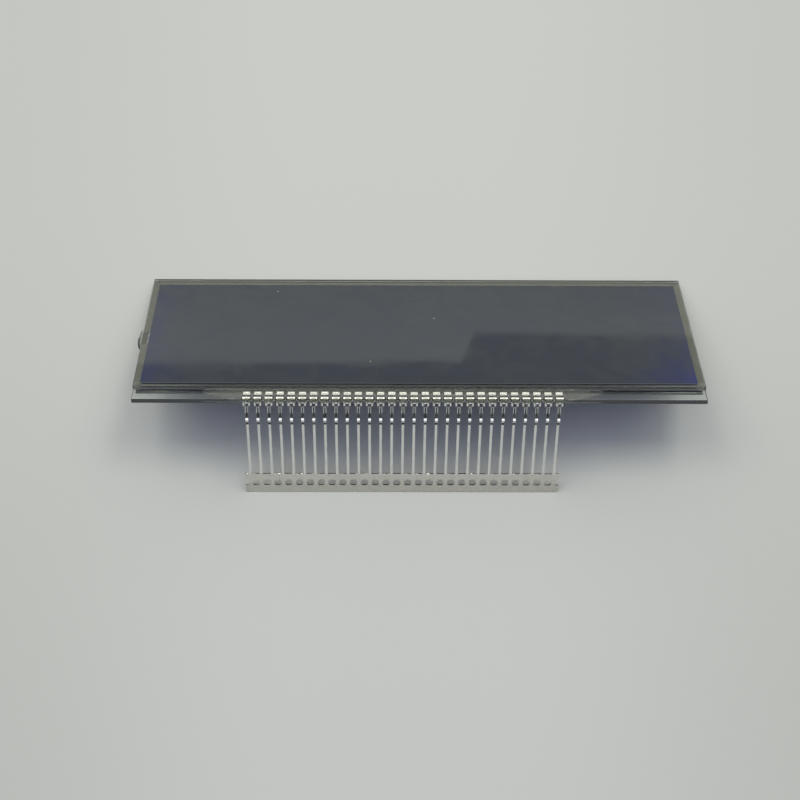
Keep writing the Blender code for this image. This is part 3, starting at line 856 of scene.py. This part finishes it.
def add_port_plug():
    """The resin that closes the fill port: a lumpy drop outside and a film inside.

    Rings run from the drop's tip to its rim on the glass, where the ring at angle a lies
    bulge * cos a out, with a dent, and is sin a wide, with lumps. Two more rings have the
    port's section, at the edge of the glass and at the film's end.
    """
    rng = np.random.default_rng(41)
    low, high = own_box("end_seal")
    face_x = own_box("front_glass")[0][0] - 0.01
    middle_z = (low[2] + high[2]) / 2
    around = np.linspace(0.0, 2 * math.pi, PLUG_SIDES + 1)[:-1]
    climb = np.radians(np.linspace(0.0, 90.0, PLUG_RINGS))[:, None]
    lumps = 1 + 0.10 * np.sin(2 * around + 0.8) + 0.06 * np.sin(3 * around + rng.uniform(0, 6))
    lumps = 1 + (lumps - 1)[None] * np.sin(climb)
    y = PORT_Y + PLUG_LENGTH / 2 * 0.92 * np.sin(climb) * np.cos(around) * lumps
    flattened = np.sign(np.sin(around)) * np.abs(np.sin(around)) ** 0.8
    z = middle_z + PLUG_HEIGHT / 2 * 0.96 * np.sin(climb) * flattened
    dent = 1 - 0.22 * np.exp(-(((y - PORT_Y - 1.3) / 0.9) ** 2))
    x = face_x - PLUG_BULGE * np.cos(climb) ** 0.8 * dent
    outside = np.stack((x, y, z), axis=-1)
    half_port, half_film = PORT_WIDTH / 2, CELL_GAP / 2 + WETTING
    port_y = PORT_Y + np.clip(2.5 * np.cos(around), -1, 1) * half_port
    port_z = CELL_GAP / 2 + np.clip(2.5 * np.sin(around), -1, 1) * half_film
    depths = (face_x, face_x + PORT_FILL_REACH)
    inside = [np.column_stack((np.full(PLUG_SIDES, depth), port_y, port_z)) for depth in depths]
    points = np.concatenate((outside, inside)).reshape(-1, 3)
    rows = PLUG_RINGS + len(inside)
    faces = grid_faces(rows, PLUG_SIDES, wrap=True) + end_caps(rows, PLUG_SIDES)[1:]
    base = (0.96, 0.97, 0.94)
    resin, _ = new_material("plug_resin", base, 0.03, IOR=1.5, Transmission_Weight=1.0)
    plug = make_piece("port_plug", points, faces, (resin, seal_material()))
    set_face_materials(plug, own_face_centres(plug)[:, 0] > face_x + 0.02)
    hand_over(plug, "clear_glue", "end_seal")


def dress_cell_nodes():
    """The crystal layer and the transfer dots keep their solids and get their finish."""
    crystal, silver = crystal_material(), silver_material()
    for node, material in (
        ("liquid_crystal", crystal),
        ("transfer_dot_left", silver),
        ("transfer_dot_right", silver),
    ):
        frame["nodes"][node].data.materials.clear()
        frame["nodes"][node].data.materials.append(material)


# Lead frame


def ribbon(stations, columns, middle=0.0):
    """Folded sheet: x = middle + column * half width, with (y, z) from each station."""
    x = middle + np.outer(stations[:, 2], columns)
    y = np.repeat(stations[:, :1], len(columns), axis=1)
    z = np.repeat(stations[:, 1:2], len(columns), axis=1)
    return np.stack((x, y, z), axis=-1)


def jaw_stations():
    """From the jaw's rounded tip over its pad and its shoulder down to the branch."""
    half = CLIP_WIDTH / 2
    line = bend_line(
        [
            (LEAD_Y + JAW_REACH, JAW_GRIP_Z + JAW_TIP_LIFT, 0, half),
            (LEAD_Y + JAW_GRIP_REACH, JAW_GRIP_Z, JAW_GRIP_BEND, half),
            (LEAD_Y + JAW_LEAN, JAW_GRIP_Z + JAW_SHOULDER_LIFT, JAW_BEND, half),
            (LEAD_Y, BRANCH_Z, 0, half),
        ]
    )
    start = line[0]
    way = (line[1] - start)[:2]
    way /= np.linalg.norm(way)
    share = np.linspace(0.0, 1.0, 6)[:, None]
    tip = start[:2] + way * JAW_TIP_ROUND * share
    tip[:, 1:] -= JAW_TIP_SLOPE_DROP * (1 - share) ** 2
    width = half - JAW_TIP_NARROWING * (1 - np.sqrt(1 - (1 - share) ** 2))
    groove_y = LEAD_Y + JAW_GROOVE_Y + JAW_GROOVE_HALF * np.array((1, 0, -1))
    groove = [np.interp(-groove_y, -line[:, 0], column) for column in line.T]
    return np.concatenate((np.column_stack((tip, width)), np.column_stack(groove), line[1:]))


def grooved_jaw(sheet):
    """The jaw with a short groove pressed across the middle of its pad."""
    across = np.isclose(sheet[:, 0, 1], LEAD_Y + JAW_GROOVE_Y)
    sheet[np.ix_(across, (2, 3), (2,))] -= JAW_GROOVE_DEPTH
    return sheet


def leg_stations():
    """From the branch down the neck, round the kink and down the shank to the strip."""
    neck, shank = NECK_WIDTH / 2, SHANK_WIDTH / 2
    inner = CLIP_WIDTH / 2 - TONGUE_WIDTH - TONGUE_SLIT
    root = STRIP_TOP + STRIP_FILLET
    line = bend_line(
        [
            (LEAD_Y, BRANCH_Z, 0, inner),
            (LEAD_Y - TAPER_SPLAY, TAPER_END_Z, TAPER_BEND, neck),
            (LEAD_Y - NECK_SPLAY, KINK_TOP_Z, KINK_TOP_BEND, shank),
            (LEAD_Y - KINK_DEPTH, KINK_NOSE_Z, KINK_NOSE_BEND, KINK_WIDTH / 2),
            (LEAD_Y + KINK_HEEL, KINK_HEEL_Z, KINK_HEEL_BEND, shank),
            (LEAD_Y, KINK_FOOT_Z, KINK_FOOT_BEND, shank),
            (LEAD_Y, root, 0, shank),
        ]
    )
    more_z = np.linspace(NECK_CROWN_TOP, NECK_CROWN_END, 12)
    more = [np.interp(-more_z, -line[:, 1], column) for column in line.T]
    line = np.concatenate((line, np.column_stack(more)))
    line = line[np.argsort(-line[:, 1], kind="stable")]
    angle = np.radians(np.linspace(0.0, 90.0, 6))[1:]
    z = root - STRIP_FILLET * np.sin(angle)
    width = shank + STRIP_FILLET * (1 - np.cos(angle))
    fillet = np.column_stack((np.full(len(angle), LEAD_Y), z, width))
    return np.concatenate((line, fillet))


def crowned_neck(sheet):
    """The leg with its neck coined: its edges are set back by crown * eased share."""
    z = sheet[..., 2]
    share = eased((NECK_CROWN_TOP - z) / 0.5) * eased((z - NECK_CROWN_END) / 0.4)
    sheet[:, (0, -1), 1] += NECK_CROWN * share[:, (0, -1)]
    return sheet


def tongue_stations():
    """From the branch down round the heel and along the underside of the glass."""
    half = TONGUE_WIDTH / 2
    tip_z = TONGUE_GRIP_Z - TONGUE_DROP
    return bend_line(
        [
            (LEAD_Y, BRANCH_Z, 0, half),
            (LEAD_Y, tip_z, TONGUE_HEEL_BEND, half),
            (LEAD_Y + TONGUE_GRIP_REACH, TONGUE_GRIP_Z, TONGUE_GRIP_BEND, half),
            (LEAD_Y + TONGUE_REACH, tip_z, 0, half),
        ]
    )


def strip_stations():
    """Half widths of one pitch of strip: the pitch's half, less the pilot hole's chord."""
    angle = np.radians(np.linspace(0.0, 180.0, 15))
    half = PIN_PITCH / 2
    hole_z = PILOT_Z + PILOT_RADIUS * np.cos(angle)
    hole_half = half - PILOT_RADIUS * np.sin(angle)
    z = np.concatenate(([STRIP_TOP], hole_z, [STRIP_BOTTOM]))
    width = np.concatenate(([half], hole_half, [half]))
    return np.column_stack((np.full(len(z), LEAD_Y), z, width))


def one_contact():
    """The middle surface of one pin with its clip and its pitch of strip."""
    half = CLIP_WIDTH / 2
    slit_out = (half - TONGUE_WIDTH) / half
    slit_in = (half - TONGUE_WIDTH - TONGUE_SLIT) / half
    jaw = np.array((-1, -slit_out, -slit_in, slit_in, slit_out, 1))
    leg = np.array((-1, -NECK_CORE_SHARE, NECK_CORE_SHARE, 1))
    tongue = np.array((-1, 1))
    root = (SHANK_WIDTH / 2 + STRIP_FILLET) / (PIN_PITCH / 2)
    tongue_middle = half - TONGUE_WIDTH / 2
    sheets = [
        grooved_jaw(ribbon(jaw_stations(), jaw)),
        crowned_neck(ribbon(leg_stations(), leg)),
        ribbon(tongue_stations(), tongue, -tongue_middle),
        ribbon(tongue_stations(), tongue, tongue_middle),
        ribbon(strip_stations(), np.array((-1, -root, root, 1))),
    ]
    points, faces, count = [], [], 0
    for sheet in sheets:
        rows, columns = sheet.shape[:2]
        faces += grid_faces(rows, columns, first=count)
        points.append(sheet.reshape(-1, 3))
        count += rows * columns
    return np.concatenate(points), np.array(faces)


def pin_middles():
    return PIN_MIDDLE + PIN_PITCH * (np.arange(PIN_COUNT) - (PIN_COUNT - 1) / 2)


def add_lead_frame():
    """One stamping: a middle surface folded for every pin, then thickened and rounded."""
    rng = np.random.default_rng(51)
    contact, faces = one_contact()
    row = np.repeat(contact[None], PIN_COUNT, axis=0)
    jaw_share = np.clip((row[..., 1] - LEAD_Y) / JAW_REACH, 0, 1) * (row[..., 2] > 0)
    row[..., 2] += jaw_share * rng.normal(0.0, JAW_UNEVENNESS, PIN_COUNT)[:, None]
    row[..., 0] += pin_middles()[:, None]
    faces = faces[None] + np.arange(PIN_COUNT)[:, None, None] * len(contact)
    faces = faces.reshape(-1, 4).tolist()
    piece = make_piece("pin_frame", row.reshape(-1, 3), faces, (tin_material(),))
    solidify = piece.modifiers.new("sheet", "SOLIDIFY")
    solidify.thickness = SHEET * MM
    solidify.offset = 0.0
    solidify.use_even_offset = True
    bevel = piece.modifiers.new("stamped_edge", "BEVEL")
    bevel.width = STAMPED_EDGE * MM
    bevel.segments = 2
    bevel.limit_method = "ANGLE"
    bevel.angle_limit = math.radians(50)
    bevel.miter_outer = "MITER_ARC"
    piece.modifiers.new("flat_faces", "WEIGHTED_NORMAL")
    apply_modifiers(piece, math.radians(40))
    hand_over(piece, "tinned_metal", "lead_frame")


# Pin glue


def spline_basis(count, per_span):
    """Weights of a closed uniform cubic B-spline at even places round its points."""
    t = np.linspace(0.0, 1.0, per_span + 1)[:-1]
    before, here = (1 - t) ** 3, 3 * t**3 - 6 * t**2 + 4
    after, beyond = -3 * t**3 + 3 * t**2 + 3 * t + 1, t**3
    cubic = np.stack((before, here, after, beyond)) / 6
    basis = np.zeros((count, per_span, count))
    for span in range(count):
        for k in range(4):
            basis[span, :, (span + k - 1) % count] += cubic[k]
    return basis.reshape(-1, count)


def glue_stations():
    """Places along the bead: x, how near a clip, share of full size, and how far it hangs.

    near eases from 0 in the middle of a gap to 1 at the clips' sides. Between two clips
    the lower rim is an arch, and over a clip it comes down to a point on the neck.
    """
    half_gap, half_pitch, ends = ARCH_HALF, PIN_PITCH / 2, GLUE_END_STATIONS
    arch_x = half_gap * np.sin(np.radians(np.linspace(-90.0, 90.0, 13)))
    plate = np.linspace(half_gap, PIN_PITCH - half_gap, 12)[1:-1]
    cell = np.concatenate((arch_x, plate))
    first = PIN_MIDDLE - PIN_PITCH * (PIN_COUNT - 1) / 2
    gaps = first - half_pitch + PIN_PITCH * np.arange(PIN_COUNT + 1)
    x = (gaps[:, None] + cell).ravel()
    x = x[(x > gaps[0]) & (x < gaps[-1])]
    run = GLUE_END - half_pitch
    out = np.linspace(0.0, 1.0, ends)
    size = np.sqrt(np.clip(1 - out**1.6, 0.0, 1.0)) + 0.015
    x = np.concatenate((gaps[0] - run * out[::-1], x, gaps[-1] + run * out))
    share = np.ones(len(x))
    share[:ends], share[-ends:] = size[::-1], size
    share = np.minimum(share, 1.0)
    inside = (x > gaps[0]) & (x < gaps[-1])
    off_gap = np.abs((x - gaps[0] + half_pitch) % PIN_PITCH - half_pitch) * inside
    near = eased((off_gap - ARCH_FLAT_HALF) / half_gap)
    point = np.clip((off_gap - half_gap) / (half_pitch - half_gap), 0.0, 1.0)
    hang = GLUE_ARCH * share + (GLUE_HANG - GLUE_ARCH) * (0.25 * near + 0.75 * point)
    return x, near, share, hang


def glue_controls(near, share, hang, sag):
    """The section's control points (y, z) at every place along the bead.

    They go along the ledge, down the edge of the rear glass, back up the bead's front and
    over its crown to the heel at the front glass. near moves each point from its place in
    a gap to its place round a clip, whose shoulder and tip stand out of the bead, and
    share draws the whole section in towards the heel. A point named twice holds a corner.
    """
    edge_y = own_box("rear_glass")[0][1]
    wet_y, front_y = edge_y + GLUE_SINK, edge_y - GLUE_REACH
    clip_y = LEAD_Y - SHEET / 2
    in_gap = [
        (GLUE_SINK, -GLUE_SINK),
        (GLUE_SINK, -GLUE_SINK),
        (edge_y * 0.5, -GLUE_SINK),
        (edge_y + 0.1, -GLUE_SINK),
        (wet_y, -0.05),
        (wet_y, -hang * 0.6),
        (wet_y, -hang),
        (edge_y - 0.14, -hang - 0.03),
        (front_y + 0.06, -hang + 0.04),
        (front_y, -hang * 0.4),
        (front_y + 0.03, 0.10),
        (front_y + 0.16, 0.28),
        (front_y + 0.50, 0.36 + sag),
        (-2.75, 0.37 + sag),
        (-2.1, 0.38 + sag),
        (-1.2, 0.42 + sag),
        (-0.4, 0.52 + sag),
        (GLUE_SINK, 0.66 + sag),
        (GLUE_SINK, 0.66 + sag),
    ]
    over_clip = [
        (clip_y + 0.3, -hang),
        (clip_y + 0.03, -hang),
        (clip_y - GLUE_COAT * 0.25, -hang * 0.5),
        (clip_y - GLUE_COAT * 0.70, 0.10),
        (clip_y - GLUE_COAT * 0.98, 0.555),
        (LEAD_Y + 0.03, 0.68),
        (-3.3, 0.58),
        (-2.5, 0.31),
        (-1.9, 0.22),
        (-1.1, 0.30),
    ]
    round_clip = in_gap[:7] + over_clip + in_gap[17:]
    controls = []
    for gap_point, clip_point in zip(in_gap, round_clip):
        pair = [gap + (clip - gap) * near for gap, clip in zip(gap_point, clip_point)]
        controls.append(np.stack(pair, axis=-1))
    control = np.stack(controls, axis=1)
    pull = share[:, None]
    control[..., 0] = control[..., 0] * pull
    control[..., 1] = np.where(control[..., 1] > 0, control[..., 1] * pull, control[..., 1])
    return control


def add_glue():
    """The clear bead over the ledge: a smooth closed section carried along the pins."""
    rng = np.random.default_rng(61)
    x, near, share, hang = glue_stations()
    control = glue_controls(near, share, hang, GLUE_SAG * wander(x, 3.1, rng))
    basis = spline_basis(control.shape[1], 3)
    section = np.einsum("kn,snc->skc", basis, control)
    rows, columns = section.shape[:2]
    points = np.concatenate((np.repeat(x[:, None, None], columns, axis=1), section), axis=-1)
    faces = grid_faces(rows, columns, wrap=True) + end_caps(rows, columns)
    drips, drip_faces = glue_drips(rows * columns, rng)
    points = np.concatenate((points.reshape(-1, 3), drips))
    materials = (glue_material(), glue_rim_material())
    bead = make_piece("glue_bead", points, faces + drip_faces, materials)
    mark_rim(bead, x, section)
    hand_over(bead, "clear_glue", "pin_glue")


def mark_rim(bead, x, section):
    """Gives the painted highlight material to the lower edge's faces, but not in front of the
    pins.
    """
    own_x, _, own_z = own_face_centres(bead).T
    lowest = np.interp(own_x, x, section[..., 1].min(axis=1))
    inside = (own_x > x[GLUE_END_STATIONS]) & (own_x < x[-GLUE_END_STATIONS - 1])
    off_pin = np.abs((own_x - PIN_MIDDLE + PIN_PITCH / 2) % PIN_PITCH - PIN_PITCH / 2)
    low = (own_z < lowest + RIM_HEIGHT) & (own_z > lowest - RIM_DIP)
    set_face_materials(bead, inside & (off_pin > RIM_CLEARANCE) & low)


def glue_drips(first, rng):
    """Two runs of glue down each neck, along its edges, thinning to a point.

    Ring t of a run is centred on the edge of the neck at height z, and its radius is
    full * sqrt(1 - 0.995 t) at the share t of the way down.
    """
    stations = leg_stations()
    share = np.linspace(0.0, 1.0, DRIP_RINGS)
    ends = DRIP_END_Z + DRIP_SPREAD * rng.uniform(-1, 1, (PIN_COUNT, 2))
    top = -GLUE_HANG + DRIP_START
    z = top + (ends[..., None] - top) * share
    order = np.argsort(stations[:, 1])
    y = np.interp(z, stations[order, 1], stations[order, 0])
    half = np.interp(z, stations[order, 1], stations[order, 2])
    side = np.array((-1.0, 1.0))[None, :, None]
    x = pin_middles()[:, None, None] + side * half
    radius = DRIP_RADIUS * np.sqrt(1 - share * 0.995)
    around = np.linspace(0.0, 2 * math.pi, DRIP_SIDES + 1)[:-1]
    ring_x = x[..., None] + radius[:, None] * 0.75 * np.cos(around)
    ring_y = y[..., None] - 0.04 + radius[:, None] * 1.25 * np.sin(around)
    ring_z = np.repeat(z[..., None], DRIP_SIDES, axis=-1)
    points = np.stack((ring_x, ring_y, ring_z), axis=-1).reshape(-1, 3)
    faces = []
    for start in range(first, first + len(points), DRIP_RINGS * DRIP_SIDES):
        faces += grid_faces(DRIP_RINGS, DRIP_SIDES, wrap=True, first=start)
        faces += end_caps(DRIP_RINGS, DRIP_SIDES, start)
    return points, faces


# Setting


def add_floor():
    """A pale matt table, with painted shade: darker towards both sides and slightly towards the
    front, where the light falls off.
    """
    count, reach = 33, 1.6
    places = np.linspace(-reach, reach, count)
    across, along = np.meshgrid(places, places)
    points = np.stack((across, along, 0.0 * across), axis=-1).reshape(-1, 3)
    mesh = bpy.data.meshes.new("table")
    mesh.from_pydata(points.tolist(), [], grid_faces(count, count))
    material, shader = new_material("table_top", (0.58, 0.6, 0.57), 0.6)
    place = object_place(shader)
    x, y, _ = parts(place)
    # Painted shade: the table is coloured darker towards both sides and slightly towards the
    # front, as the light falls off.
    depth = ramp(y, -0.10, 0.06)
    centre = mix_colour(depth, (0.530, 0.546, 0.530), (0.547, 0.556, 0.538))
    sides = mix_colour(depth, (0.458, 0.475, 0.455), (0.505, 0.520, 0.500))
    off_middle = math_node("ABSOLUTE", plus(x, 0.005))
    colour = mix_colour(ramp(off_middle, 0.02, 0.11), centre, sides)
    grain = use_group(SMUDGES, place, Scale=14.0, Stretch=20.0, Low=0.3, High=0.8)
    colour = mix_colour(times(grain, 0.12), colour, (0.54, 0.55, 0.53))
    feed(shader, Base_Color=colour)
    mesh.materials.append(material)
    floor = bpy.data.objects.new("table", mesh)
    bpy.context.scene.collection.objects.link(floor)


def add_world():
    """Soft room light: a dome brighter overhead, dim at the sides and low at the front.

    A pale wall stands low at the back, and its top edge steps down to the right. A faint
    glow lies between the wall and the dome's middle.
    """
    world = bpy.data.worlds.new("studio")
    bpy.context.scene.world = world
    world.use_nodes = True
    tree = world.node_tree
    x, y, z = parts(add_node(tree, "TexCoord").outputs["Generated"])

    dome = ramp(z, 0.3, 0.65, 0.55, 0.94)
    front = ramp(y, 0.1, -0.3)
    shade = times(front, ramp(z, 0.85, 0.4), 0.875)
    horizon = times(front, ramp(z, 0.22, 0.06, 0.0, 0.75))
    dome = times(dome, less(1.0, shade), less(1.0, horizon))
    dome = times(dome, ramp(x, 0.27, 0.93, 1.0, 0.24), ramp(x, -0.27, -0.93, 1.0, 0.6))

    edge = less(z, ramp(x, 0.047, 0.058, 0.1375, 0.1192))
    wall = times(ramp(edge, 0.0025, -0.0025), ramp(y, 0.6, 0.85))
    wall = times(wall, ramp(z, 0.085, 0.135, 0.3, 0.55))

    off_middle = math_node("ABSOLUTE", x)
    glow = times(ramp(y, 0.05, 0.09), ramp(y, 0.26, 0.19))
    glow = times(glow, ramp(off_middle, 0.24, 0.16, 0.0, 0.2))
    colour = mix_colour(ramp(y, 0.02, -0.2), (1.0, 1.0, 0.90), (0.98, 1.03, 1.33))
    feed(tree.nodes["Background"], Color=colour, Strength=plus(dome, glow, wall))


def add_lamps():
    """Wide soft lamps that face straight down."""
    for name, x, y, width, watts in LAMPS:
        light = bpy.data.lights.new(name, "AREA")
        light.shape = "RECTANGLE"
        light.size, light.size_y = width, LAMP_DEPTH
        light.energy = watts
        light.color = LAMP_COLOUR
        lamp = bpy.data.objects.new(name, light)
        bpy.context.scene.collection.objects.link(lamp)
        lamp.location = (x, y, LAMP_HEIGHT)


def add_camera():
    """The photograph's view, as fitted: from the front at 65 degrees above the table."""
    camera = bpy.data.cameras.new("camera")
    camera.lens = 72.397
    camera.sensor_width = 36.0
    camera.clip_start = 0.01
    eye = bpy.data.objects.new("camera", camera)
    bpy.context.scene.collection.objects.link(eye)
    eye.location = (-0.008266, -0.166932, 0.355185)
    eye.rotation_euler = [math.radians(angle) for angle in (24.6259, -0.5862, -0.1237)]
    bpy.context.scene.camera = eye


add_glass()
add_films()
add_seal()
dress_cell_nodes()
add_lead_frame()
add_glue()
add_port_plug()
add_floor()
add_world()
add_lamps()
add_camera()
bpy.context.scene.view_settings.view_transform = "Standard"
